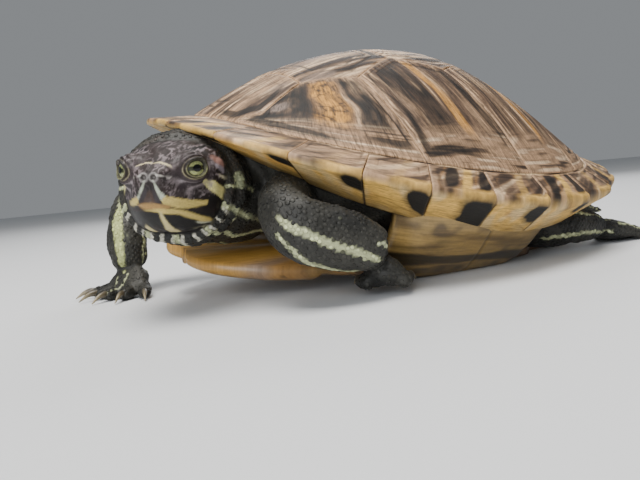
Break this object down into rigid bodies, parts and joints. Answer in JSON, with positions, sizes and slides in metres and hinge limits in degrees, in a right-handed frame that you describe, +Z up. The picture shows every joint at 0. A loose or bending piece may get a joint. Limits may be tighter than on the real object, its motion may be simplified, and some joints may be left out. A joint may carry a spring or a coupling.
{
  "type": "red-eared slider turtle",
  "caption": "Still life-size slider turtle at rest, head half drawn in, one foreleg set down in front and one folded along the shell.",
  "frame": {"origin": "centre of the bounding box at floor level", "axes": "+X along the body from head to tail, +Z up, the turtle's right side towards +Y"},
  "size_m": [0.2152, 0.1584, 0.0776],
  "materials": {
    "carapace_horn": "weathered tan and brown horn with dark growth lines",
    "marginal_horn": "brown and yellow horn with dark blotches",
    "plastron_horn": "olive yellow horn with black blotches",
    "skin": "dark granular skin with cream and yellow stripes",
    "eye": "wet yellow-green iris with a dark bar and black pupil",
    "claw": "grey-brown horn, paler at the root"
  },
  "bodies": {
    "root": {"vertebral_1": "carapace_horn", "vertebral_2": "carapace_horn", "vertebral_3": "carapace_horn", "vertebral_4": "carapace_horn", "vertebral_5": "carapace_horn", "costal_left_1": "carapace_horn", "costal_left_2": "carapace_horn", "costal_left_3": "carapace_horn", "costal_left_4": "carapace_horn", "marginals_left_front": "marginal_horn", "marginals_left_bridge": "marginal_horn", "marginals_left_rear": "marginal_horn", "costal_right_1": "carapace_horn", "costal_right_2": "carapace_horn", "costal_right_3": "carapace_horn", "costal_right_4": "carapace_horn", "marginals_right_front": "marginal_horn", "marginals_right_bridge": "marginal_horn", "marginals_right_rear": "marginal_horn", "nuchal": "marginal_horn", "plastron": "plastron_horn", "bridge_left": "plastron_horn", "bridge_right": "plastron_horn", "head": "skin", "eye_left": "eye", "eye_right": "eye", "neck": "skin", "trunk": "skin", "foreleg_left": "skin", "forefoot_left": "skin", "claw_forefoot_left_1": "claw", "claw_forefoot_left_2": "claw", "claw_forefoot_left_3": "claw", "claw_forefoot_left_4": "claw", "claw_forefoot_left_5": "claw", "foreleg_right": "skin", "forefoot_right": "skin", "claw_forefoot_right_1": "claw", "claw_forefoot_right_2": "claw", "claw_forefoot_right_3": "claw", "claw_forefoot_right_4": "claw", "claw_forefoot_right_5": "claw", "hindleg_left": "skin", "hindfoot_left": "skin", "claw_hindfoot_left_1": "claw", "claw_hindfoot_left_2": "claw", "claw_hindfoot_left_3": "claw", "claw_hindfoot_left_4": "claw", "hindleg_right": "skin", "hindfoot_right": "skin", "claw_hindfoot_right_1": "claw", "claw_hindfoot_right_2": "claw", "claw_hindfoot_right_3": "claw", "claw_hindfoot_right_4": "claw", "tail": "skin"}
  },
  "joints": []
}
